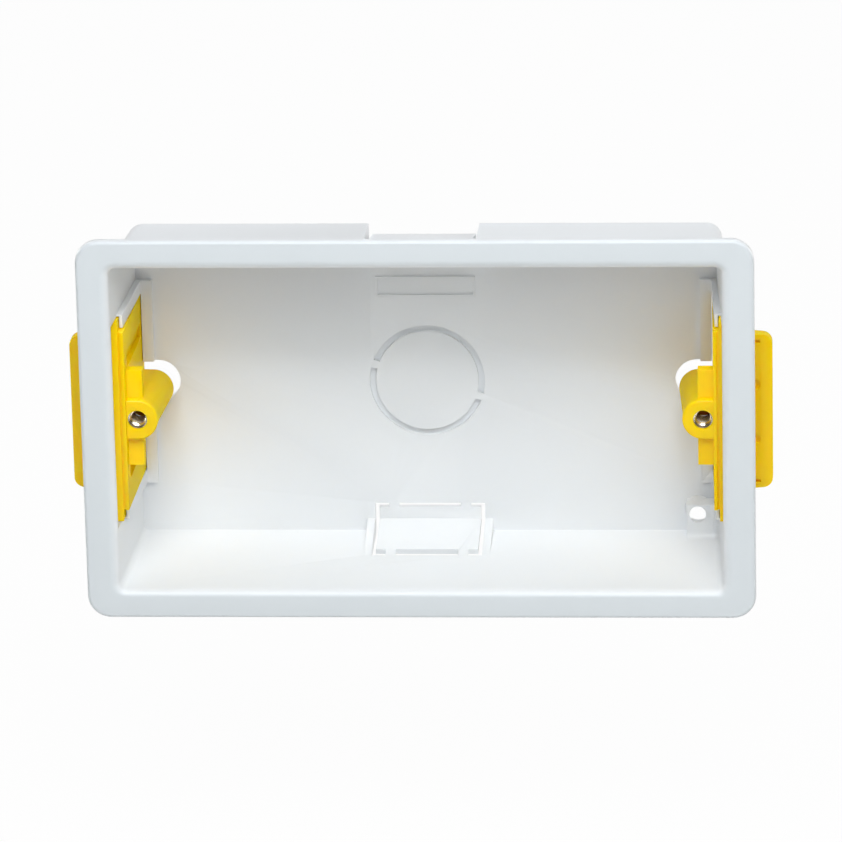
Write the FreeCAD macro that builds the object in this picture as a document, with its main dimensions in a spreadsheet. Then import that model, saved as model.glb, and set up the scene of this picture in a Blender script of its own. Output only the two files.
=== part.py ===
# Two-gang dry-lining back box: one moulded box, two sliding clamp lugs and their screw inserts.
# X runs to the right, Y back into the wall and Z up. The origin is the middle of the opening,
# in the plane of the wall's face, where the back of the flange rests.
import FreeCAD
import Part
import Sketcher
import enum
import math
import os

SIZES = {
    # Flange that laps over the face of the board
    "flange_lap_ends": 6.8,
    "flange_lap_sides": 6.2,
    "flange_thickness": 2.0,
    "flange_corner": 5.0,
    "flange_edge_round": 0.8,
    "mouth_round": 2.0,
    # Tapered box behind it
    "fixing_centres": 120.6,
    "screw_to_end_wall": 4.4,
    "mouth_height": 71.8,
    "box_depth": 35.0,
    "side_wall": 1.2,
    "back_wall": 2.0,
    "draft_sideways": 1.9,
    "draft_upright": 1.6,
    "box_corner": 3.2,
    "cavity_corner": 1.4,
    "back_edge_round": 2.4,
    # Guides for the lugs in the end walls
    "channel_inset": 1.1,
    "channel_thickness": 2.0,
    "guide_skin": 1.3,
    "rail_start": 7.6,
    "rail_proud": 1.25,
    "rail_width": 2.9,
    "wing_slot_start": 7.0,
    "slit_inset": 3.1,
    "back_rim_width": 2.4,
    "back_rim_proud": 1.3,
    "notch_radius": 4.7,
    "notch_inset": 6.3,
    "running_gap": 0.2,
    # Round knockout in the back wall
    "knockout_radius": 12.5,
    "knockout_groove": 1.4,
    "knockout_groove_depth": 1.2,
    "knockout_bridge": 1.6,
    "knockout_turn": 18.0,
    # Corner knockouts at the middle of the long walls
    "ramp_width": 27.4,
    "ramp_length": 14.8,
    "ramp_rise": 2.6,
    "panel_width": 24.0,
    "panel_thickness": 1.1,
    "panel_upright": 6.2,
    "panel_slot": 0.9,
    "foot_slot": 1.6,
    "bridge_place": 7.85,
    "bridge_width": 2.2,
    # Blank frame on the back wall
    "plate_frame_width": 21.5,
    "plate_frame_height": 4.6,
    "plate_frame_rim": 0.5,
    "plate_frame_proud": 0.35,
    "plate_frame_up": 21.3,
    # Fixing boss in the lower right corner
    "boss_width": 6.8,
    "boss_height": 7.3,
    "boss_proud": 4.4,
    "boss_hole_radius": 1.8,
    "boss_hole_inset": 4.4,
    "boss_hole_up": 5.1,
    "boss_foot_round": 1.5,
    # Clamp lugs
    "plate_front": 4.5,
    "plate_half_height": 19.9,
    "plate_face_draft": 0.9,
    "plate_face_inset": 2.1,
    "ear_reach": 2.5,
    "ear_length": 4.4,
    "wing_front": 11.5,
    "wing_thickness": 3.0,
    "wing_reach": 9.6,
    "wing_half_height": 17.8,
    "wing_end_slope": 0.9,
    "wing_corner": 2.2,
    "wing_rib_thickness": 1.6,
    "wing_rib_length": 6.0,
    "wing_mark_place": 6.1,
    "wing_mark_radius": 1.1,
    "wing_mark_depth": 0.8,
    "wing_mark_inset": 3.7,
    "wing_nick_place": 15.6,
    "wing_nick_height": 0.7,
    "tab_front": 5.7,
    "tab_length": 4.0,
    "tab_radius": 4.4,
    "post_rear": 28.0,
    "post_radius": 4.2,
    "post_lean": 4.0,
    "rib_front": 7.4,
    "rib_length": 3.0,
    "rib_half_height": 10.6,
    "rib_proud": 3.4,
    "face_groove_height": 3.4,
    "face_groove_depth": 1.0,
    "seam_width": 0.5,
    "seam_depth": 0.6,
    "tab_edge_round": 0.5,
    # Threaded inserts, moulded into the tabs
    "insert_radius": 2.5,
    "insert_length": 8.0,
    "insert_bore": 1.475,
    "insert_mouth": 0.4,
    "insert_waist": 0.35,
    "insert_waist_length": 2.4,
    "lip_thickness": 0.8,
    "lip_bore": 2.1,
    "screw_clearance": 2.3,
}


class Size:
    """A length with its value and the sheet formula that keeps it tied to the driving sizes."""

    def __init__(self, value, formula):
        self.value = value
        self.formula = formula

    def joined(self, other, sign, result):
        formula = other.formula if isinstance(other, Size) else repr(other)
        return Size(result(self.value, other.value if isinstance(other, Size) else other),
                    f"({self.formula} {sign} {formula})")

    def __add__(self, other):
        return self.joined(other, "+", lambda a, b: a + b)

    def __sub__(self, other):
        return self.joined(other, "-", lambda a, b: a - b)

    def __mul__(self, other):
        return self.joined(other, "*", lambda a, b: a * b)

    def __truediv__(self, other):
        return self.joined(other, "/", lambda a, b: a / b)

    def __neg__(self):
        return self * -1.0


document = FreeCAD.newDocument("back_box")
sheet = document.addObject("Spreadsheet::Sheet", "sizes")
for row, (alias, amount) in enumerate(SIZES.items(), start=1):
    sheet.set(f"A{row}", alias)
    sheet.set(f"B{row}", str(amount))
    sheet.setAlias(f"B{row}", alias)
document.recompute()

dim = {alias: Size(amount, f"sizes.{alias}") for alias, amount in SIZES.items()}
NONE = Size(0.0, "0.0")
CLOSE = 0.001
Spot = enum.IntEnum("Spot", "START END CENTRE")
START, END, CENTRE = Spot
FLAT_AXIS = -1
ORIGIN_POINT = (FLAT_AXIS, START)


def new_body(name):
    body = document.addObject("PartDesign::Body", name)
    body.Label = name
    return body


def new_sketch(body, name, plane, out=NONE, across=NONE, turn=None, turn_axis=(0, 0, 1)):
    """A sketch on one of the body's own origin planes, moved out along its normal."""
    sketch = body.newObject("Sketcher::SketchObject", name)
    support = [item for item in body.Origin.OriginFeatures if item.Role == plane][0]
    sketch.AttachmentSupport = [(support, "")]
    sketch.MapMode = "FlatFace"
    sketch.AttachmentOffset = FreeCAD.Placement(
        FreeCAD.Vector(), FreeCAD.Rotation(FreeCAD.Vector(*turn_axis), 0))
    sketch.setExpression("AttachmentOffset.Base.x", across.formula)
    sketch.setExpression("AttachmentOffset.Base.z", out.formula)
    if turn:
        sketch.setExpression("AttachmentOffset.Rotation.Angle", turn.formula)
    return sketch


def upright_sketch(body, name, back, turn=None):
    """A sketch seen from the room: its x is X, its y is Z, and it lies at Y = back."""
    return new_sketch(body, name, "XZ_Plane", out=-back, turn=turn)


def tie(sketch, kind, *where, size):
    """One dimension of a sketch, bound to the sheet."""
    index = sketch.addConstraint(Sketcher.Constraint(kind, *where, size.value))
    sketch.renameConstraint(index, f"{kind.lower()}_{index}")
    sketch.setExpression(f"Constraints.{kind.lower()}_{index}", size.formula)


def polygon(sketch, corners):
    """A closed outline through corners, each given by two sizes from the sketch's origin."""
    spots = [FreeCAD.Vector(x.value, y.value, 0) for x, y in corners]
    lines = [sketch.addGeometry(Part.LineSegment(spot, spots[(n + 1) % len(spots)]))
             for n, spot in enumerate(spots)]
    for n, (x, y) in enumerate(corners):
        sketch.addConstraint(Sketcher.Constraint("Coincident", lines[n - 1], END, lines[n], START))
        tie(sketch, "DistanceX", *ORIGIN_POINT, lines[n], START, size=x)
        tie(sketch, "DistanceY", *ORIGIN_POINT, lines[n], START, size=y)


def rectangle(sketch, left, right, low, high):
    polygon(sketch, [(left, low), (right, low), (right, high), (left, high)])


def pair_of_rectangles(sketch, inner, outer, half_height):
    """The same rectangle at both ends of the box."""
    rectangle(sketch, inner, outer, -half_height, half_height)
    rectangle(sketch, -outer, -inner, -half_height, half_height)


def circle(sketch, x, y, radius):
    ring = sketch.addGeometry(Part.Circle(FreeCAD.Vector(x.value, y.value, 0),
                                          FreeCAD.Vector(0, 0, 1), radius.value))
    tie(sketch, "DistanceX", *ORIGIN_POINT, ring, CENTRE, size=x)
    tie(sketch, "DistanceY", *ORIGIN_POINT, ring, CENTRE, size=y)
    tie(sketch, "Radius", ring, size=radius)


def arc(sketch, x, y, radius, first, last):
    ring = Part.Circle(FreeCAD.Vector(x, y, 0), FreeCAD.Vector(0, 0, 1), radius)
    return sketch.addGeometry(Part.ArcOfCircle(ring, math.radians(first), math.radians(last)))


def tangent(sketch, first, second):
    sketch.addConstraint(Sketcher.Constraint("Tangent", first, END, second, START))


def rounded_rectangle(sketch, width, height, radius):
    """A rectangle about the sketch's origin with four round corners."""
    w, h, r = width.value / 2, height.value / 2, radius.value
    sides = [((-w + r, -h), (w - r, -h)), ((w, -h + r), (w, h - r)),
             ((w - r, h), (-w + r, h)), ((-w, h - r), (-w, -h + r))]
    bends = [(w - r, -h + r, 270), (w - r, h - r, 0), (-w + r, h - r, 90), (-w + r, -h + r, 180)]
    lines = [sketch.addGeometry(Part.LineSegment(FreeCAD.Vector(*a, 0), FreeCAD.Vector(*b, 0)))
             for a, b in sides]
    arcs = [arc(sketch, x, y, r, turn, turn + 90) for x, y, turn in bends]
    for n in range(4):
        tangent(sketch, lines[n], arcs[n])
        tangent(sketch, arcs[n], lines[(n + 1) % 4])
        sketch.addConstraint(Sketcher.Constraint("Vertical" if n % 2 else "Horizontal", lines[n]))
    for n in range(1, 4):
        sketch.addConstraint(Sketcher.Constraint("Equal", arcs[0], arcs[n]))
    tie(sketch, "Radius", arcs[0], size=radius)
    tie(sketch, "DistanceX", lines[3], START, lines[1], START, size=width)
    tie(sketch, "DistanceY", lines[0], START, lines[2], START, size=height)
    sketch.addConstraint(Sketcher.Constraint("Symmetric", arcs[0], CENTRE, arcs[2], CENTRE,
                                             *ORIGIN_POINT))


def tongue(sketch, root, centre, radius, side=1):
    """A tongue that comes in from x = root and ends in a half circle about x = centre."""
    x, c, r = side * root.value, side * centre.value, radius.value
    corners = [FreeCAD.Vector(x, side * r, 0), FreeCAD.Vector(c, side * r, 0),
               FreeCAD.Vector(c, -side * r, 0), FreeCAD.Vector(x, -side * r, 0)]
    near = sketch.addGeometry(Part.LineSegment(corners[0], corners[1]))
    first = 90 if side > 0 else 270
    bend = arc(sketch, c, 0, r, first, first + 180)
    far = sketch.addGeometry(Part.LineSegment(corners[2], corners[3]))
    end = sketch.addGeometry(Part.LineSegment(corners[3], corners[0]))
    tangent(sketch, near, bend)
    tangent(sketch, bend, far)
    for first, second in ((far, end), (end, near)):
        sketch.addConstraint(Sketcher.Constraint("Coincident", first, END, second, START))
    for line, way in ((near, "Horizontal"), (far, "Horizontal"), (end, "Vertical")):
        sketch.addConstraint(Sketcher.Constraint(way, line))
    sketch.addConstraint(Sketcher.Constraint("PointOnObject", bend, CENTRE, FLAT_AXIS))
    tie(sketch, "DistanceX", *ORIGIN_POINT, bend, CENTRE, size=centre * float(side))
    tie(sketch, "DistanceX", *ORIGIN_POINT, end, START, size=root * float(side))
    tie(sketch, "Radius", bend, size=radius)


def grown(body, kind, name, profile, **settings):
    """A feature of the body; it must add to a solid or take from it, as its kind says."""
    before = body.Shape.Volume if body.Tip and not body.Shape.isNull() else 0.0
    feature = body.newObject(f"PartDesign::{kind}", name)
    feature.Profile = profile
    for setting, value in settings.items():
        if isinstance(value, Size):
            feature.setExpression(setting, value.formula)
        else:
            setattr(feature, setting, value)
    body.Tip = feature
    document.recompute()
    change = body.Shape.Volume - before
    takes = kind in ("Pocket", "Groove", "SubtractiveLoft")
    if change >= 0 if takes else change <= 0:
        raise RuntimeError(f"{name} left the solid as it was")
    return feature


def rounded_edges(body, name, radius, chosen):
    """A fillet along the edges of the body's tip whose ends and middle are all chosen."""
    base = body.Tip
    edges = [f"Edge{n}" for n, edge in enumerate(base.Shape.Edges, start=1)
             if all(chosen(spot) for spot in [edge.CenterOfMass] + [end.Point for end in edge.Vertexes])]
    fillet = body.newObject("PartDesign::Fillet", name)
    fillet.Base = (base, edges)
    fillet.setExpression("Radius", radius.formula)
    body.Tip = fillet
    document.recompute()


def near(value, target):
    return abs(value - target) < CLOSE


# Places that the box and its lugs share, as distances from the middle of the opening
front = -dim["flange_thickness"]
floor = dim["box_depth"] - dim["back_wall"]
rear = dim["box_depth"]
screw_x = dim["fixing_centres"] / 2
mouth_x = screw_x + dim["screw_to_end_wall"]
mouth_z = dim["mouth_height"] / 2
floor_x = mouth_x - dim["draft_sideways"]
floor_z = mouth_z - dim["draft_upright"]
gap = dim["running_gap"]
channel_in = mouth_x - dim["channel_inset"]
channel_out = channel_in + dim["channel_thickness"]
guide_out = channel_out + dim["guide_skin"]
slit_in = mouth_x - dim["slit_inset"]
slot_half = dim["plate_half_height"] + gap
ear_half = dim["plate_half_height"] + dim["ear_reach"]
channel_half = ear_half + gap
wing_slot_half = dim["wing_half_height"] + gap * 2


def wall_face(mouth, draft, back):
    """How far from the middle the cavity's wall stands at Y = back."""
    return mouth - draft * (back + dim["flange_thickness"]) / (floor + dim["flange_thickness"])


def make_box():
    body = new_body("box_body")
    make_shell(body)
    make_flange(body)
    make_guide_blocks(body)
    make_rails(body)
    cut_guides(body)
    make_round_knockout(body)
    make_corner_knockouts(body)
    make_plate_frame(body)
    make_fixing_boss(body)
    return body


def make_shell(body):
    """Walls and back of the box: every wall leans inwards a little, so that the moulding draws."""
    wall = dim["side_wall"]
    block_x = mouth_x + wall
    block_z = mouth_z + wall
    block = upright_sketch(body, "block_outline", front)
    rectangle(block, -block_x, block_x, -block_z, block_z)
    grown(body, "Pad", "block", block, Length=rear - front, Reversed=True)

    cavity = new_sketch(body, "cavity_outline", "XY_Plane")
    polygon(cavity, [(-mouth_x, front), (mouth_x, front), (floor_x, floor), (-floor_x, floor)])
    grown(body, "Pocket", "cavity", cavity, Length=mouth_z * 2, Midplane=True)

    rear_x = wall_face(mouth_x, dim["draft_sideways"], rear) + wall
    rear_z = wall_face(mouth_z, dim["draft_upright"], rear) + wall
    lean(body, "Pad", "cavity_sides", "YZ_Plane", (front, mouth_z), (floor, floor_z), wall / 2, mouth_x * 2)
    lean(body, "Pocket", "block_sides", "YZ_Plane", (front, block_z), (rear, rear_z), wall, block_x * 2)
    lean(body, "Pocket", "block_ends", "XY_Plane", (front, block_x), (rear, rear_x), wall, block_z * 2)

    def in_cavity_corner(p):
        wall_x = wall_face(mouth_x, dim["draft_sideways"], Size(p.y, ""))
        wall_z = wall_face(mouth_z, dim["draft_upright"], Size(p.y, ""))
        return near(abs(p.x), wall_x.value) and near(abs(p.z), wall_z.value)

    least_x = (floor_x + wall / 2).value
    least_z = (floor_z + wall / 2).value
    rounded_edges(body, "cavity_corners", dim["cavity_corner"], in_cavity_corner)
    rounded_edges(body, "block_corners", dim["box_corner"],
                  lambda p: abs(p.x) > least_x and abs(p.z) > least_z)
    rounded_edges(body, "back_edges", dim["back_edge_round"], lambda p: near(p.y, rear.value))


def lean(body, kind, name, plane, near_end, far_end, beyond, length):
    """A wedge on each of two facing walls, so that each leans from its near end to its far end."""
    outline = new_sketch(body, f"{name}_outline", plane)
    outside = near_end[1] + beyond
    for side in (1.0, -1.0):
        corners = [(y, place * side) for y, place in (
            near_end, far_end, (far_end[0], outside), (near_end[0], outside))]
        polygon(outline, corners if plane == "YZ_Plane" else [(x, y) for y, x in corners])
    grown(body, kind, name, outline, Length=length, Midplane=True)


def make_flange(body):
    """Flange round the mouth, which laps over the face of the board."""
    in_wall = dim["side_wall"] / 2
    flange = upright_sketch(body, "flange_outline", front)
    rounded_rectangle(flange, (mouth_x + dim["flange_lap_ends"]) * 2,
                      (mouth_z + dim["flange_lap_sides"]) * 2, dim["flange_corner"])
    rounded_rectangle(flange, (mouth_x + in_wall) * 2, (mouth_z + in_wall) * 2, dim["box_corner"] - in_wall)
    grown(body, "Pad", "flange", flange, Length=dim["flange_thickness"], Reversed=True)
    rounded_edges(body, "flange_edges", dim["flange_edge_round"],
                  lambda p: near(p.y, front.value) and (abs(p.x) > (mouth_x + dim["side_wall"]).value
                                                        or abs(p.z) > (mouth_z + dim["side_wall"]).value))
    rounded_edges(
        body, "mouth_edges", dim["mouth_round"],
        lambda p: near(p.y, front.value) and abs(p.x) < mouth_x.value + CLOSE
        and abs(p.z) < mouth_z.value + CLOSE)


def make_guide_blocks(body):
    """Thick stretch of each end wall, outside, which holds the channel for the lug's ears."""
    in_wall = dim["side_wall"] / 2
    outline = new_sketch(body, "guide_block_outline", "XY_Plane")
    for side in (1.0, -1.0):
        polygon(outline, [(x * side, y) for x, y in (
            (mouth_x + in_wall, NONE), (guide_out, NONE), (guide_out, rear), (floor_x + in_wall, rear))])
    height = (channel_half + dim["side_wall"]) * 2
    grown(body, "Pad", "guide_blocks", outline, Length=height, Midplane=True)


def make_rails(body):
    """Raised rails above and below each slot, and the rim beside the slit in the back wall."""
    start = dim["rail_start"]
    wall_at_start = wall_face(mouth_x, dim["draft_sideways"], start)
    outline = new_sketch(body, "rail_outline", "XY_Plane")
    for side in (1.0, -1.0):
        polygon(outline, [(x * side, y) for x, y in (
            (wall_at_start - dim["rail_proud"], start), (slit_in, floor), (slit_in, rear),
            (channel_out, rear), (channel_out, start))])
    height = (slot_half + dim["rail_width"]) * 2
    grown(body, "Pad", "rails", outline, Length=height, Midplane=True)

    rim = upright_sketch(body, "back_rim_outline", floor)
    pair_of_rectangles(rim, slit_in - dim["back_rim_width"], floor_x, slot_half + dim["rail_width"])
    grown(body, "Pad", "back_rims", rim, Length=dim["back_rim_proud"])


def cut_guides(body):
    """Channel, slot and openings in which each lug slides, and the notch that its post enters."""
    entry = upright_sketch(body, "ear_entry_outline", NONE)
    pair_of_rectangles(entry, slit_in, channel_out, channel_half)
    grown(body, "Pocket", "ear_entries", entry, Length=dim["rail_start"])

    channel = upright_sketch(body, "channel_outline", NONE)
    pair_of_rectangles(channel, channel_in, channel_out, channel_half)
    grown(body, "Pocket", "channels", channel, Length=rear)

    slot = upright_sketch(body, "slot_outline", dim["rail_start"] / 2)
    pair_of_rectangles(slot, slit_in, channel_out, slot_half)
    grown(body, "Pocket", "slots", slot, Length=rear)

    wing_slot = upright_sketch(body, "wing_slot_outline", dim["wing_slot_start"])
    pair_of_rectangles(wing_slot, channel_in, guide_out + gap, wing_slot_half)
    grown(body, "Pocket", "wing_slots", wing_slot, Length=rear)

    notch = upright_sketch(body, "post_notch_outline", floor - dim["back_rim_proud"])
    for side in (1, -1):
        tongue(notch, channel_in, mouth_x - dim["notch_inset"], dim["notch_radius"], side)
    grown(body, "Pocket", "post_notches", notch, Length=dim["back_wall"] * 2)


def make_round_knockout(body):
    """Groove round a cable knockout, crossed by two bridges that hold the disc."""
    groove = upright_sketch(body, "knockout_outline", floor)
    inner_radius = dim["knockout_radius"] - dim["knockout_groove"]
    for radius in (dim["knockout_radius"], inner_radius):
        circle(groove, NONE, NONE, radius)
    grown(body, "Pocket", "knockout_groove", groove, Length=dim["knockout_groove_depth"])

    bridge = upright_sketch(body, "knockout_bridge_outline", floor, turn=-dim["knockout_turn"])
    overlap = dim["knockout_groove"] / 4
    pair_of_rectangles(bridge, inner_radius - overlap, dim["knockout_radius"] + overlap,
                       dim["knockout_bridge"] / 2)
    grown(body, "Pad", "knockout_bridges", bridge, Length=dim["knockout_groove_depth"], Reversed=True)


def make_corner_knockouts(body):
    """Ramped cable knockouts where the long walls meet the back, held by bridges."""
    foot = floor - dim["ramp_length"]
    outer_foot = wall_face(mouth_z, dim["draft_upright"], foot) + dim["side_wall"]
    inner_foot = outer_foot - dim["panel_thickness"]
    top = floor_z - dim["ramp_rise"]
    outside = mouth_z + dim["side_wall"] * 2
    panel_back = floor + dim["panel_thickness"]
    panel_top = floor_z - dim["panel_upright"]

    ramp = new_sketch(body, "ramp_outline", "YZ_Plane")
    recess = new_sketch(body, "recess_outline", "YZ_Plane")
    for side in (1.0, -1.0):
        polygon(ramp, [(y, z * side) for y, z in (
            (foot, inner_foot), (floor, top), (panel_back, top), (panel_back, inner_foot))])
        polygon(recess, [(y, z * side) for y, z in (
            (foot, outer_foot), (panel_back, top + dim["panel_thickness"]), (panel_back, panel_top),
            (rear + gap, panel_top), (rear + gap, outside), (foot, outside))])
    grown(body, "Pad", "ramps", ramp, Length=dim["ramp_width"], Midplane=True)
    grown(body, "Pocket", "ramp_recesses", recess, Length=dim["panel_width"], Midplane=True)

    half = dim["panel_width"] / 2
    bridge_in = dim["bridge_place"] - dim["bridge_width"] / 2
    bridge_out = dim["bridge_place"] + dim["bridge_width"] / 2
    runs = ((-half, -bridge_out), (-bridge_in, bridge_in), (bridge_out, half))
    slot = dim["panel_slot"]
    upper_slots = upright_sketch(body, "upper_slot_outline", floor)
    side_slots = upright_sketch(body, "side_slot_outline", foot)
    for side in (1.0, -1.0):
        for left, right in runs:
            polygon(upper_slots, [(x, z * side) for x, z in (
                (left, panel_top), (right, panel_top), (right, panel_top + slot), (left, panel_top + slot))])
        for left, right in ((-half, slot - half), (half - slot, half)):
            polygon(side_slots, [(x, z * side) for x, z in (
                (left, panel_top), (right, panel_top), (right, outside), (left, outside))])
    grown(body, "Pocket", "upper_slots", upper_slots, Length=rear)
    grown(body, "Pocket", "side_slots", side_slots, Length=rear)

    foot_slots = new_sketch(body, "foot_slot_outline", "XY_Plane")
    for left, right in runs:
        rectangle(foot_slots, left, right, foot, foot + dim["foot_slot"])
    grown(body, "Pocket", "foot_slots", foot_slots, Length=outside * 2, Midplane=True)


def make_plate_frame(body):
    """Blank raised frame high on the back wall."""
    frame = upright_sketch(body, "plate_frame_outline", floor)
    for inset in (NONE, dim["plate_frame_rim"]):
        half_width = dim["plate_frame_width"] / 2 - inset
        half_height = dim["plate_frame_height"] / 2 - inset
        rectangle(frame, -half_width, half_width, dim["plate_frame_up"] - half_height,
                  dim["plate_frame_up"] + half_height)
    grown(body, "Pad", "plate_frame", frame, Length=dim["plate_frame_proud"])


def make_fixing_boss(body):
    """Boss with a fixing hole in the lower right corner of the back wall."""
    outline = upright_sketch(body, "boss_outline", floor)
    wall_x = floor_x + dim["side_wall"] / 2
    wall_z = floor_z + dim["side_wall"] / 2
    rectangle(outline, floor_x - dim["boss_width"], wall_x, -wall_z, dim["boss_height"] - floor_z)
    grown(body, "Pad", "fixing_boss", outline, Length=dim["boss_proud"])
    boss_front = floor - dim["boss_proud"]
    foot_z = wall_face(mouth_z, dim["draft_upright"], boss_front)
    rounded_edges(body, "boss_foot", dim["boss_foot_round"],
                  lambda p: near(p.y, boss_front.value) and near(p.z, -foot_z.value))
    hole = upright_sketch(body, "boss_hole_outline", boss_front)
    circle(hole, floor_x - dim["boss_hole_inset"], dim["boss_hole_up"] - floor_z, dim["boss_hole_radius"])
    grown(body, "Pocket", "boss_hole", hole, Length=dim["boss_proud"] + dim["back_wall"])


def make_lug(name):
    """Clamp lug at the right-hand end: slide plate, ears, wing, screw tab and long post."""
    body = new_body(name)
    face_front = mouth_x - dim["plate_face_inset"]
    face_rear = face_front - dim["plate_face_draft"]
    plate_out = channel_out - gap
    plate = new_sketch(body, "plate_outline", "XY_Plane")
    polygon(plate, [(face_front, dim["plate_front"]), (plate_out, dim["plate_front"]),
                    (plate_out, rear - gap), (face_rear, rear - gap)])
    grown(body, "Pad", "slide_plate", plate, Length=dim["plate_half_height"] * 2, Midplane=True)

    ears = new_sketch(body, "ear_outline", "XY_Plane")
    rectangle(ears, channel_in + gap, plate_out, dim["plate_front"], dim["plate_front"] + dim["ear_length"])
    grown(body, "Pad", "ears", ears, Length=ear_half * 2, Midplane=True)

    make_wing(body, plate_out)
    make_post(body, face_front, face_rear)
    return body


def make_wing(body, plate_out):
    """Wing that bears on the back of the board, with two ribs behind it."""
    tip = plate_out + dim["wing_reach"]
    corner_z = dim["wing_half_height"] - dim["wing_end_slope"]
    root = plate_out - dim["channel_thickness"] / 2
    outline = upright_sketch(body, "wing_outline", dim["wing_front"])
    polygon(outline, [(root, -dim["wing_half_height"]), (tip, -corner_z),
                      (tip, corner_z), (root, dim["wing_half_height"])])
    grown(body, "Pad", "wing", outline, Length=dim["wing_thickness"], Reversed=True)
    rounded_edges(body, "wing_corners", dim["wing_corner"],
                  lambda p: near(p.x, tip.value) and near(abs(p.z), corner_z.value))

    wing_back = dim["wing_front"] + dim["wing_thickness"]
    marks = upright_sketch(body, "wing_mark_outline", dim["wing_front"])
    mark_x = tip - dim["wing_mark_inset"]
    for side, where in ((1.0, "upper"), (-1.0, "lower")):
        rib = new_sketch(body, f"{where}_rib_outline", "XY_Plane", out=dim["wing_mark_place"] * side)
        polygon(rib, [(root, wing_back - gap), (tip - dim["wing_corner"], wing_back - gap),
                      (tip - dim["wing_corner"], wing_back), (root, wing_back + dim["wing_rib_length"])])
        grown(body, "Pad", f"{where}_rib", rib, Length=dim["wing_rib_thickness"], Midplane=True)
        circle(marks, mark_x, dim["wing_mark_place"] * side, dim["wing_mark_radius"])
        nick = dim["wing_nick_place"] * side
        nick_half = dim["wing_nick_height"] / 2
        rectangle(marks, mark_x - dim["wing_mark_radius"], mark_x + dim["wing_mark_radius"],
                  nick - nick_half, nick + nick_half)
    grown(body, "Pocket", "wing_marks", marks, Length=dim["wing_mark_depth"])


def make_post(body, face_front, face_rear):
    """Tab for the screw, the leaning post that runs back from it and the cross rib beside it."""
    root = channel_in + gap
    tab = upright_sketch(body, "tab_outline", dim["tab_front"])
    tongue(tab, root, screw_x, dim["tab_radius"])
    grown(body, "Pad", "tab", tab, Length=dim["tab_length"], Reversed=True)

    post_start = dim["tab_front"] + dim["tab_length"] / 2
    post = new_sketch(body, "post_outline", "XZ_Plane", out=-post_start, across=screw_x,
                      turn=dim["post_lean"], turn_axis=(0, 1, 0))
    tongue(post, root - screw_x, NONE, dim["post_radius"])
    grown(body, "Pad", "post", post, Length=dim["post_rear"] - post_start, Reversed=True)
    rounded_edges(body, "tab_edges", dim["tab_edge_round"],
                  lambda p: near(p.y, dim["tab_front"].value) and p.x < face_front.value
                  and (near(abs(p.z), dim["tab_radius"].value) or p.x < screw_x.value))

    rib = upright_sketch(body, "cross_rib_outline", dim["rib_front"])
    rectangle(rib, face_front - dim["rib_proud"], root, -dim["rib_half_height"], dim["rib_half_height"])
    grown(body, "Pad", "cross_rib", rib, Length=dim["rib_length"], Reversed=True)

    groove_start = dim["rib_front"] + dim["rib_length"] / 2
    groove_end = rear - dim["back_wall"] * 2
    for side, where in ((1.0, "upper"), (-1.0, "lower")):
        middle = (dim["rib_half_height"] + dim["face_groove_height"] / 2) * side
        groove = new_sketch(body, f"{where}_face_groove_outline", "XY_Plane", out=middle)
        polygon(groove, [(face_rear - gap, groove_start), (face_front + dim["face_groove_depth"], groove_start),
                         (face_rear + dim["face_groove_depth"], groove_end), (face_rear - gap, groove_end)])
        grown(body, "Pocket", f"{where}_face_groove", groove, Length=dim["face_groove_height"], Midplane=True)

    seam = new_sketch(body, "seam_outline", "XY_Plane")
    rectangle(seam, root - dim["seam_width"], root, dim["plate_front"] - gap,
              dim["plate_front"] + dim["seam_depth"])
    grown(body, "Pocket", "front_seam", seam, Length=(ear_half + gap) * 2, Midplane=True)

    bore = new_sketch(body, "bore_outline", "XY_Plane", across=screw_x)
    insert_front = dim["tab_front"] + dim["lip_thickness"]
    insert_rear = insert_front + dim["insert_length"]
    beyond = dim["post_rear"] + gap
    polygon(bore, [(NONE, dim["tab_front"] - gap), (dim["lip_bore"], dim["tab_front"] - gap),
                   (dim["lip_bore"], insert_front)] + insert_flank(insert_front, insert_rear)
            + [(dim["screw_clearance"], insert_rear), (dim["screw_clearance"], beyond), (NONE, beyond)])
    grown(body, "Groove", "screw_bore", bore, ReferenceAxis=(bore, ["V_Axis"]), Angle=360.0)


def insert_flank(start, end):
    """Outside of an insert, from front to rear: two collars with a waist that the plastic grips."""
    collar = (dim["insert_length"] - dim["insert_waist_length"]) / 2
    waist = dim["insert_radius"] - dim["insert_waist"]
    return [(dim["insert_radius"], start), (dim["insert_radius"], start + collar), (waist, start + collar),
            (waist, end - collar), (dim["insert_radius"], end - collar), (dim["insert_radius"], end)]


def make_insert(name):
    """Threaded insert moulded into the tab of the lug, modelled at its thread's minor diameter."""
    body = new_body(name)
    start = dim["tab_front"] + dim["lip_thickness"]
    end = start + dim["insert_length"]
    mouth = dim["insert_bore"] + dim["insert_mouth"]
    profile = new_sketch(body, "insert_outline", "XY_Plane", across=screw_x)
    polygon(profile, [(dim["insert_bore"], end - dim["insert_mouth"]),
                      (dim["insert_bore"], start + dim["insert_mouth"]), (mouth, start)]
            + insert_flank(start, end) + [(mouth, end)])
    grown(body, "Revolution", "sleeve", profile, ReferenceAxis=(profile, ["V_Axis"]), Angle=360.0)
    return body


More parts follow.
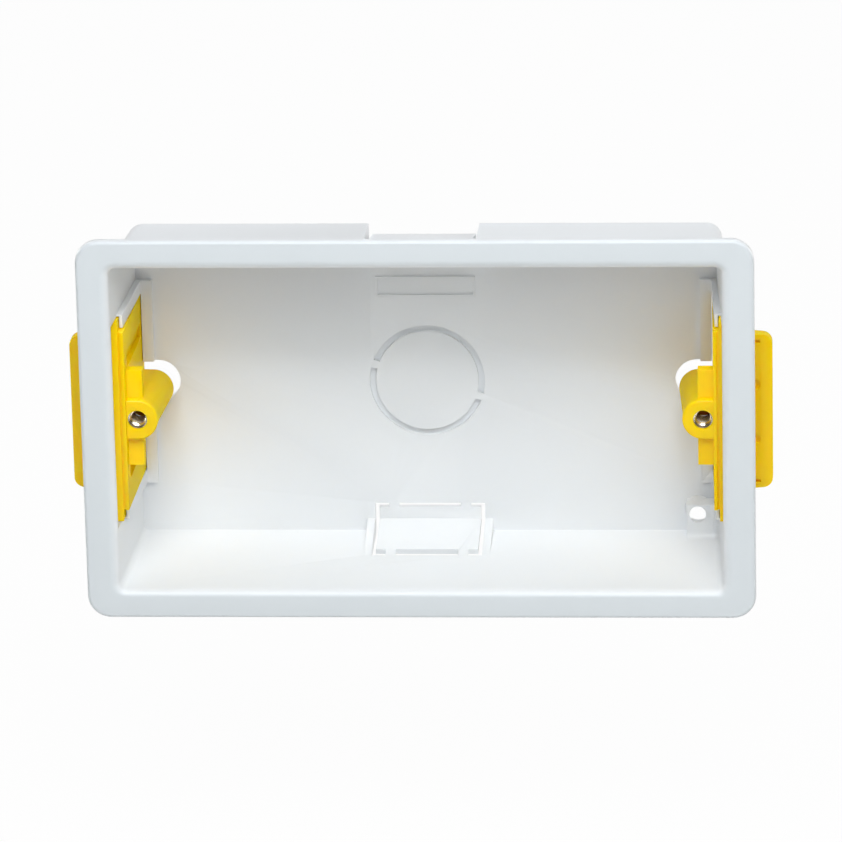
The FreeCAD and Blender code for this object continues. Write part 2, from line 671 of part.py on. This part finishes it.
def main():
    parts = [make_box()]
    half_turn = FreeCAD.Placement(FreeCAD.Vector(), FreeCAD.Rotation(FreeCAD.Vector(0, 1, 0), 180))
    for hand, placement in (("right", FreeCAD.Placement()), ("left", half_turn)):
        for part in (make_lug(f"clamp_lug_{hand}"), make_insert(f"thread_insert_{hand}")):
            part.Placement = placement
            parts.append(part)
    document.recompute()
    broken = [item.Name for item in document.Objects if {"Invalid", "Error"} & set(item.State)]
    if broken:
        raise RuntimeError(f"these objects failed: {broken}")
    os.makedirs("parts", exist_ok=True)
    for part in parts:
        if part.Shape.isNull() or not part.Shape.isValid() or len(part.Shape.Solids) != 1:
            raise RuntimeError(f"{part.Label} is not one valid solid")
        part.Shape.exportStep(f"parts/{part.Label}.step")
        print(part.Label, round(part.Shape.Volume, 1), "mm3", len(part.Shape.Faces), "faces")


main()
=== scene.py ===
import math

import bmesh
import bpy
from mathutils import Matrix, Vector


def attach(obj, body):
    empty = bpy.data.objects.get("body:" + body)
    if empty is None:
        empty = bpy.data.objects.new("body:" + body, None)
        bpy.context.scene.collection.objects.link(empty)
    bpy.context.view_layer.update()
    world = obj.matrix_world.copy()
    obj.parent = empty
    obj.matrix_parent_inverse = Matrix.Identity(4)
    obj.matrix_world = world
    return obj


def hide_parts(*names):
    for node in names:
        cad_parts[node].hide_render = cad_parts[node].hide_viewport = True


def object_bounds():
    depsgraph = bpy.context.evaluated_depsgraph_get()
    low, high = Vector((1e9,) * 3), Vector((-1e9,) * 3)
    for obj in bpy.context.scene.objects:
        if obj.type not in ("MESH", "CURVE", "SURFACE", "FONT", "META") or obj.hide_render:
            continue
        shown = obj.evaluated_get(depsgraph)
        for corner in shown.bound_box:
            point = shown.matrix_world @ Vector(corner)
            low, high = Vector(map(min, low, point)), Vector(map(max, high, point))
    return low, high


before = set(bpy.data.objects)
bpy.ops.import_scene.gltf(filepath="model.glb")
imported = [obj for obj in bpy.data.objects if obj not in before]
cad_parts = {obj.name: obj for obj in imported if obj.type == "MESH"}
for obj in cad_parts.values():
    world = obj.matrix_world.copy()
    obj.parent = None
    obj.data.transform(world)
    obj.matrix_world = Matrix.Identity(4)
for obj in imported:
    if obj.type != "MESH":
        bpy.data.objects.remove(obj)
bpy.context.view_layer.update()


# Box body: one injection moulding in white plastic. The flange laps over the board, the shell
# tapers back from it, and the knockouts, guides, boss and blank frame are part of the same shot.
# Edges that the mould leaves sharp still have the small round that any moulded edge has.
MERGE_DISTANCE = 1e-6
FLAT_ANGLE = math.radians(0.2)
ROUNDED_ANGLE = math.radians(35)


def merged_copy(node, name, edge_round):
    """The node's mesh as one smooth skin, with every sharp edge rounded a little."""
    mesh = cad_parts[node].data.copy()
    mesh.name = name
    skin = bmesh.new()
    skin.from_mesh(mesh)
    bmesh.ops.remove_doubles(skin, verts=skin.verts, dist=MERGE_DISTANCE)
    bmesh.ops.dissolve_limit(skin, angle_limit=FLAT_ANGLE, verts=skin.verts, edges=skin.edges,
                             use_dissolve_boundaries=False, delimit=set())
    skin.to_mesh(mesh)
    skin.free()
    mesh.materials.clear()
    piece = bpy.data.objects.new(name, mesh)
    bpy.context.scene.collection.objects.link(piece)
    mesh.shade_smooth()
    rounding = piece.modifiers.new("edge_round", "BEVEL")
    rounding.width = edge_round
    rounding.segments = 2
    rounding.limit_method = "ANGLE"
    rounding.angle_limit = ROUNDED_ANGLE
    rounding.harden_normals = True
    return piece


def moulded_skin():
    """Shader group for a moulded skin: the fine grain of the mould and slow drifts in gloss."""
    group = bpy.data.node_groups.new("moulded_skin", "ShaderNodeTree")
    for name, start in (("Grain Scale", 900.0), ("Gloss", 0.3), ("Gloss Drift", 0.06)):
        socket = group.interface.new_socket(name, in_out="INPUT", socket_type="NodeSocketFloat")
        socket.default_value = start
    for name in ("Height", "Roughness", "Drift"):
        group.interface.new_socket(name, in_out="OUTPUT", socket_type="NodeSocketFloat")
    nodes, links = group.nodes, group.links
    given = nodes.new("NodeGroupInput")
    made = nodes.new("NodeGroupOutput")
    place = nodes.new("ShaderNodeTexCoord")
    grain = nodes.new("ShaderNodeTexNoise")
    grain.inputs["Detail"].default_value = 3.0
    slow = nodes.new("ShaderNodeTexNoise")
    slow.inputs["Scale"].default_value = 38.0
    slow.inputs["Detail"].default_value = 2.0
    links.new(place.outputs["Object"], grain.inputs["Vector"])
    links.new(place.outputs["Object"], slow.inputs["Vector"])
    links.new(given.outputs["Grain Scale"], grain.inputs["Scale"])
    centred = nodes.new("ShaderNodeMath")
    centred.operation = "SUBTRACT"
    centred.inputs[1].default_value = 0.5
    links.new(slow.outputs["Fac"], centred.inputs[0])
    drift = nodes.new("ShaderNodeMath")
    drift.operation = "MULTIPLY_ADD"
    links.new(centred.outputs[0], drift.inputs[0])
    links.new(given.outputs["Gloss Drift"], drift.inputs[1])
    links.new(given.outputs["Gloss"], drift.inputs[2])
    links.new(grain.outputs["Fac"], made.inputs["Height"])
    links.new(drift.outputs[0], made.inputs["Roughness"])
    links.new(slow.outputs["Fac"], made.inputs["Drift"])
    return group


skin_group = moulded_skin()


def plastic(name, colour, shade, gloss, grain):
    """Moulded plastic: a colour that drifts a little to a second shade, with a fine grain."""
    material = bpy.data.materials.new(name)
    material.use_nodes = True
    nodes, links = material.node_tree.nodes, material.node_tree.links
    shader = nodes["Principled BSDF"]
    skin = nodes.new("ShaderNodeGroup")
    skin.node_tree = skin_group
    skin.inputs["Gloss"].default_value = gloss
    skin.inputs["Gloss Drift"].default_value = 0.08
    skin.inputs["Grain Scale"].default_value = 1400.0
    tint = nodes.new("ShaderNodeMix")
    tint.data_type = "RGBA"
    tint.inputs["A"].default_value = (*colour, 1.0)
    tint.inputs["B"].default_value = (*shade, 1.0)
    bump = nodes.new("ShaderNodeBump")
    bump.inputs["Strength"].default_value = grain
    bump.inputs["Distance"].default_value = 0.00002
    links.new(skin.outputs["Drift"], tint.inputs["Factor"])
    links.new(tint.outputs["Result"], shader.inputs["Base Color"])
    links.new(skin.outputs["Roughness"], shader.inputs["Roughness"])
    links.new(skin.outputs["Height"], bump.inputs["Height"])
    links.new(bump.outputs["Normal"], shader.inputs["Normal"])
    return material


FLAT_OF_FLANGE, PAST_ITS_EDGE = -0.00195, -0.0012


def painted_flange_shade(material):
    """Painted shade: the flat of the flange is painted darker than the rest of the box; its rounded
    edges keep the plain colour.
    """
    nodes, links = material.node_tree.nodes, material.node_tree.links
    base_colour = nodes["Principled BSDF"].inputs["Base Color"]
    own_colour = base_colour.links[0].from_socket
    where = nodes.new("ShaderNodeTexCoord")
    parts = nodes.new("ShaderNodeSeparateXYZ")
    past_front = nodes.new("ShaderNodeMapRange")
    past_front.inputs["From Min"].default_value = FLAT_OF_FLANGE
    past_front.inputs["From Max"].default_value = PAST_ITS_EDGE
    shade = nodes.new("ShaderNodeMix")
    shade.data_type = "RGBA"
    # Painted shade: the darker colour laid over the flange's flat front.
    shade.inputs["A"].default_value = (0.83, 0.855, 0.865, 1.0)
    shade.inputs["B"].default_value = (1.0, 1.0, 1.0, 1.0)
    flange_darkening = nodes.new("ShaderNodeMix")
    flange_darkening.data_type = "RGBA"
    flange_darkening.blend_type = "MULTIPLY"
    flange_darkening.inputs["Factor"].default_value = 1.0
    links.new(where.outputs["Object"], parts.inputs["Vector"])
    links.new(parts.outputs["Y"], past_front.inputs["Value"])
    links.new(past_front.outputs["Result"], shade.inputs["Factor"])
    links.new(own_colour, flange_darkening.inputs["A"])
    links.new(shade.outputs["Result"], flange_darkening.inputs["B"])
    links.new(flange_darkening.outputs["Result"], base_colour)


BOX_EDGE_ROUND = 0.00022
RAMP_HALF_WIDTH, RAMP_TOP = 0.0112, -0.025
RAMP_FOOT = (0.0190, 0.0206)
FOOT_LIFT = 0.0006
FIXING_HOLE = (0.0584, -0.0292)
HOLE_RADIUS, CORED_RADIUS, HOLE_REAR = 0.0018, 0.0034, 0.034
SAME_RADIUS = 0.0001
box = merged_copy("box_body", "moulded_box", BOX_EDGE_ROUND)
# The foot between the two ramps stands a little higher, and the fixing hole is cored out wider
# towards the back.
for vertex in box.data.vertices:
    x, y, z = vertex.co
    if abs(x) < RAMP_HALF_WIDTH and RAMP_FOOT[0] < y < RAMP_FOOT[1] and z < RAMP_TOP:
        vertex.co.z += FOOT_LIFT
    across, upward = x - FIXING_HOLE[0], z - FIXING_HOLE[1]
    if y > HOLE_REAR and abs(math.hypot(across, upward) - HOLE_RADIUS) < SAME_RADIUS:
        vertex.co.x = FIXING_HOLE[0] + across * CORED_RADIUS / HOLE_RADIUS
        vertex.co.z = FIXING_HOLE[1] + upward * CORED_RADIUS / HOLE_RADIUS
white_skin = plastic("white_plastic", colour=(0.845, 0.857, 0.872), shade=(0.83, 0.844, 0.86),
                     gloss=0.34, grain=0.25)
# Painted shade on the flat of the flange, darker than the rest of the box.
painted_flange_shade(white_skin)
box.data.materials.append(white_skin)
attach(box, "box")
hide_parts("box_body")


# Clamp lugs: one yellow moulding for each end of the box. The plate slides in the end guide,
# the wing grips the back of the board, and the post carries the accessory screw.
def deep_and_polished(material):
    """Light goes a little way into the yellow plastic, and its skin shines least at a low angle."""
    nodes, links = material.node_tree.nodes, material.node_tree.links
    shader = nodes["Principled BSDF"]
    shader.inputs["Subsurface Weight"].default_value = 0.5
    shader.inputs["Subsurface Radius"].default_value = (1.0, 0.42, 0.04)
    shader.inputs["Subsurface Scale"].default_value = 0.0018
    shader.inputs["Specular IOR Level"].default_value = 0.0
    shader.inputs["Coat Roughness"].default_value = 0.22
    facing = nodes.new("ShaderNodeLayerWeight")
    facing.inputs["Blend"].default_value = 0.5
    polish = nodes.new("ShaderNodeMapRange")
    polish.inputs["From Min"].default_value = 0.3
    polish.inputs["From Max"].default_value = 0.8
    polish.inputs["To Min"].default_value = 0.5
    polish.inputs["To Max"].default_value = 0.22
    links.new(facing.outputs["Facing"], polish.inputs["Value"])
    links.new(polish.outputs["Result"], shader.inputs["Coat Weight"])


LUG_EDGE_ROUND = 0.0002
yellow = plastic("yellow_plastic", colour=(1.0, 0.645, 0.002), shade=(0.985, 0.63, 0.002),
                 gloss=0.24, grain=0.15)
deep_and_polished(yellow)
for side in ("left", "right"):
    lug = merged_copy(f"clamp_lug_{side}", f"yellow_lug_{side}", LUG_EDGE_ROUND)
    lug.data.materials.append(yellow)
    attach(lug, f"{side}_lug")
    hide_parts(f"clamp_lug_{side}")


# Threaded inserts: nickel-plated metal, moulded into the tab of each lug. The waisted barrel locks
# in the plastic, and the bore has the M3.5 thread that takes the accessory screw.
def plated_metal():
    """Nickel plate with a soft shine."""
    material = bpy.data.materials.new("plated_metal")
    material.use_nodes = True
    shader = material.node_tree.nodes["Principled BSDF"]
    shader.inputs["Base Color"].default_value = (0.72, 0.67, 0.58, 1.0)
    shader.inputs["Metallic"].default_value = 1.0
    shader.inputs["Roughness"].default_value = 0.22
    return material


BARREL_FRONT, BARREL_REAR = 0.0065, 0.0145
COLLAR_RADIUS, WAIST_RADIUS, COLLAR_LENGTH = 0.0025, 0.00215, 0.0028
MOUTH_RADIUS, MOUTH_DEPTH = 0.00205, 0.0005
THREAD_ROOT, THREAD_CREST, THREAD_PITCH, THREAD_TURNS = 0.00175, 0.001475, 0.0006, 10
RIDGE_HALF_WIDTH, RIDGE_SEAT = 0.000252, 0.00179
SPOKES = 48
SHARP_ANGLE = math.radians(40)
SCREW_CENTRE = 0.0603


def threaded_insert(name, centre):
    """A waisted barrel, open at both ends, with the thread's ridge wound down its bore."""
    outline = ((THREAD_ROOT, BARREL_FRONT + MOUTH_DEPTH), (MOUTH_RADIUS, BARREL_FRONT),
               (COLLAR_RADIUS, BARREL_FRONT), (COLLAR_RADIUS, BARREL_FRONT + COLLAR_LENGTH),
               (WAIST_RADIUS, BARREL_FRONT + COLLAR_LENGTH),
               (WAIST_RADIUS, BARREL_REAR - COLLAR_LENGTH),
               (COLLAR_RADIUS, BARREL_REAR - COLLAR_LENGTH), (COLLAR_RADIUS, BARREL_REAR),
               (MOUTH_RADIUS, BARREL_REAR), (THREAD_ROOT, BARREL_REAR - MOUTH_DEPTH))
    form = bmesh.new()
    corners = [form.verts.new((centre + radius, station, 0.0)) for radius, station in outline]
    edges = [form.edges.new(pair) for pair in zip(corners, corners[1:] + corners[:1])]
    bmesh.ops.spin(form, geom=corners + edges, cent=(centre, 0.0, 0.0), axis=(0.0, 1.0, 0.0),
                   angle=2.0 * math.pi, steps=SPOKES, use_merge=True)
    first = BARREL_FRONT + MOUTH_DEPTH + THREAD_PITCH / 2
    section = ((RIDGE_SEAT, first - RIDGE_HALF_WIDTH), (THREAD_CREST, first),
               (RIDGE_SEAT, first + RIDGE_HALF_WIDTH))
    ridge = form.faces.new([form.verts.new((centre + radius, station, 0.0))
                            for radius, station in section])
    bmesh.ops.spin(form, geom=[ridge, *ridge.edges, *ridge.verts], cent=(centre, 0.0, 0.0),
                   axis=(0.0, 1.0, 0.0), dvec=(0.0, THREAD_PITCH / SPOKES, 0.0),
                   angle=2.0 * math.pi * THREAD_TURNS, steps=SPOKES * THREAD_TURNS)
    bmesh.ops.holes_fill(form, edges=[edge for edge in form.edges if edge.is_boundary], sides=3)
    bmesh.ops.recalc_face_normals(form, faces=form.faces)
    mesh = bpy.data.meshes.new(name)
    form.to_mesh(mesh)
    form.free()
    mesh.shade_smooth()
    mesh.set_sharp_from_angle(angle=SHARP_ANGLE)
    piece = bpy.data.objects.new(name, mesh)
    bpy.context.scene.collection.objects.link(piece)
    return piece


metal = plated_metal()
for side, centre in (("left", -SCREW_CENTRE), ("right", SCREW_CENTRE)):
    insert = threaded_insert(f"metal_insert_{side}", centre)
    insert.data.materials.append(metal)
    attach(insert, f"{side}_lug")
    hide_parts(f"thread_insert_{side}")


# Studio: a plain pale floor below the box, two soft lamps above and in front of it, a weaker one
# from the right, one overhead and two behind, and a white room in what the camera sees. A long
# lens looks slightly down on the box, as the photograph was taken.
FLOOR_HALF_SIDE, FLOOR_BELOW = 6.0, 0.06
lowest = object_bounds()[0].z
floor_mesh = bpy.data.meshes.new("floor")
sheet = bmesh.new()
bmesh.ops.create_grid(sheet, x_segments=1, y_segments=1, size=FLOOR_HALF_SIDE,
                      matrix=Matrix.Translation((0.0, 0.0, lowest - FLOOR_BELOW)))
sheet.to_mesh(floor_mesh)
sheet.free()
floor = bpy.data.objects.new("floor", floor_mesh)
bpy.context.scene.collection.objects.link(floor)


def pale_floor():
    """White where it is seen or mirrored, with a faint shadow kept, and clear from below."""
    material = bpy.data.materials.new("pale_floor")
    material.use_nodes = True
    nodes, links = material.node_tree.nodes, material.node_tree.links
    nodes.clear()
    out = nodes.new("ShaderNodeOutputMaterial")
    matt = nodes.new("ShaderNodeBsdfDiffuse")
    matt.inputs["Color"].default_value = (0.80, 0.79, 0.77, 1.0)
    glow = nodes.new("ShaderNodeEmission")
    glow.inputs["Strength"].default_value = 1.0
    path = nodes.new("ShaderNodeLightPath")
    seen = path.outputs["Is Camera Ray"]
    for ray in ("Is Glossy Ray", "Is Transmission Ray"):
        either = nodes.new("ShaderNodeMath")
        either.operation = "MAXIMUM"
        links.new(seen, either.inputs[0])
        links.new(path.outputs[ray], either.inputs[1])
        seen = either.outputs[0]
    share = nodes.new("ShaderNodeMath")
    share.operation = "MULTIPLY"
    share.inputs[1].default_value = 0.97
    mix = nodes.new("ShaderNodeMixShader")
    side = nodes.new("ShaderNodeNewGeometry")
    clear = nodes.new("ShaderNodeBsdfTransparent")
    one_sided = nodes.new("ShaderNodeMixShader")
    links.new(seen, share.inputs[0])
    links.new(share.outputs[0], mix.inputs["Fac"])
    links.new(matt.outputs[0], mix.inputs[1])
    links.new(glow.outputs[0], mix.inputs[2])
    links.new(side.outputs["Backfacing"], one_sided.inputs["Fac"])
    links.new(mix.outputs[0], one_sided.inputs[1])
    links.new(clear.outputs[0], one_sided.inputs[2])
    links.new(one_sided.outputs[0], out.inputs["Surface"])
    return material


floor_mesh.materials.append(pale_floor())


def white_room():
    """A nearly dark room that the camera sees as white, and so does a reflection from behind."""
    world = bpy.data.worlds.new("studio")
    world.use_nodes = True
    nodes, links = world.node_tree.nodes, world.node_tree.links
    ambient = nodes["Background"]
    ambient.inputs["Color"].default_value = (1.0, 0.975, 0.90, 1.0)
    ambient.inputs["Strength"].default_value = 0.01
    white = nodes.new("ShaderNodeBackground")
    white.inputs["Strength"].default_value = 1.0
    mix = nodes.new("ShaderNodeMixShader")
    path = nodes.new("ShaderNodeLightPath")
    way = nodes.new("ShaderNodeTexCoord")
    parts = nodes.new("ShaderNodeSeparateXYZ")
    behind = nodes.new("ShaderNodeMapRange")
    behind.inputs["From Min"].default_value = 0.0
    behind.inputs["From Max"].default_value = 0.35
    mirrored = nodes.new("ShaderNodeMath")
    mirrored.operation = "MULTIPLY"
    shown = nodes.new("ShaderNodeMath")
    shown.operation = "MAXIMUM"
    links.new(way.outputs["Generated"], parts.inputs["Vector"])
    links.new(parts.outputs["Y"], behind.inputs["Value"])
    links.new(behind.outputs["Result"], mirrored.inputs[0])
    links.new(path.outputs["Is Glossy Ray"], mirrored.inputs[1])
    links.new(path.outputs["Is Camera Ray"], shown.inputs[0])
    links.new(mirrored.outputs[0], shown.inputs[1])
    links.new(shown.outputs[0], mix.inputs["Fac"])
    links.new(ambient.outputs[0], mix.inputs[1])
    links.new(white.outputs[0], mix.inputs[2])
    links.new(mix.outputs[0], nodes["World Output"].inputs["Surface"])
    return world


bpy.context.scene.world = white_room()

target = Vector((0.0, 0.0, 0.0))
for name, place, size, power, colour in (
        ("high_key", (0.0, -0.459, 0.655), (0.43, 0.37), 3.85, (0.93, 0.965, 1.0)),
        ("low_key", (0.0, -0.655, 0.459), (0.43, 0.37), 1.85, (0.93, 0.98, 1.0)),
        ("right_fill", (0.58, -0.81, 0.84), (0.6, 0.6), 3.45, (0.98, 1.0, 0.98)),
        ("top_light", (0.1, 0.3, 1.25), (0.7, 0.6), 3.3, (0.97, 0.985, 1.0)),
        ("back_left_fill", (-1.08, 0.7, 0.2), (0.4, 0.4), 4.5, (1.0, 0.99, 0.98)),
        ("back_right_fill", (1.08, 0.7, 0.2), (0.4, 0.4), 4.5, (1.0, 0.99, 0.98))):
    lamp = bpy.data.lights.new(name, "AREA")
    lamp.shape = "RECTANGLE"
    lamp.size, lamp.size_y = size
    lamp.energy = power
    lamp.color = colour
    holder = bpy.data.objects.new(name, lamp)
    holder.location = place
    holder.rotation_euler = (Vector(place) - target).to_track_quat("Z", "Y").to_euler()
    bpy.context.scene.collection.objects.link(holder)

YAW, PITCH, ROLL = (math.radians(angle) for angle in (4.098, 18.412, -1.321))
DISTANCE = 1.4
AIM = Vector((0.00092, -0.002, 0.00237))
PIXELS_PER_METRE = 4728.0
PHOTO_SIDE = 842
SENSOR_WIDTH = 36.0
back = Vector((math.sin(YAW) * math.cos(PITCH), -math.cos(YAW) * math.cos(PITCH), math.sin(PITCH)))
level = Vector((0.0, 0.0, 1.0)).cross(back).normalized()
upright = back.cross(level)
right = level * math.cos(ROLL) + upright * math.sin(ROLL)
up = upright * math.cos(ROLL) - level * math.sin(ROLL)
camera = bpy.data.objects.new("camera", bpy.data.cameras.new("camera"))
camera.matrix_world = (Matrix.Translation(AIM + back * DISTANCE)
                       @ Matrix((right, up, back)).transposed().to_4x4())
camera.data.sensor_width = SENSOR_WIDTH
camera.data.lens = SENSOR_WIDTH * PIXELS_PER_METRE * DISTANCE / PHOTO_SIDE
bpy.context.scene.collection.objects.link(camera)
bpy.context.scene.camera = camera
bpy.context.scene.view_settings.view_transform = "Standard"
